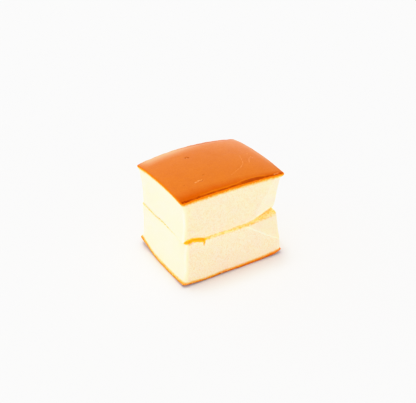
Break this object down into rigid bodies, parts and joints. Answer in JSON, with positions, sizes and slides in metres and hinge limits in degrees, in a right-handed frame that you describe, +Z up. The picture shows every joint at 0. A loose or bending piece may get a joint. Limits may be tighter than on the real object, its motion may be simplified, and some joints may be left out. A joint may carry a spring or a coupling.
{
  "type": "chiffon cake",
  "caption": "Small oblong chiffon cake made of stacked sponge slabs, with a thin browned crust on its domed top and under its base.",
  "frame": {"origin": "on the table, under the middle of the cake", "axes": "+Z up, X along the wide front side, whose wall faces -Y"},
  "size_m": [0.0858, 0.0688, 0.075],
  "materials": {
    "sponge": "matt pale yellow sponge crumb with a thin browned crust on the outer face"
  },
  "bodies": {
    "root": {"upper_sponge": "sponge", "lower_sponge": "sponge"}
  },
  "joints": []
}
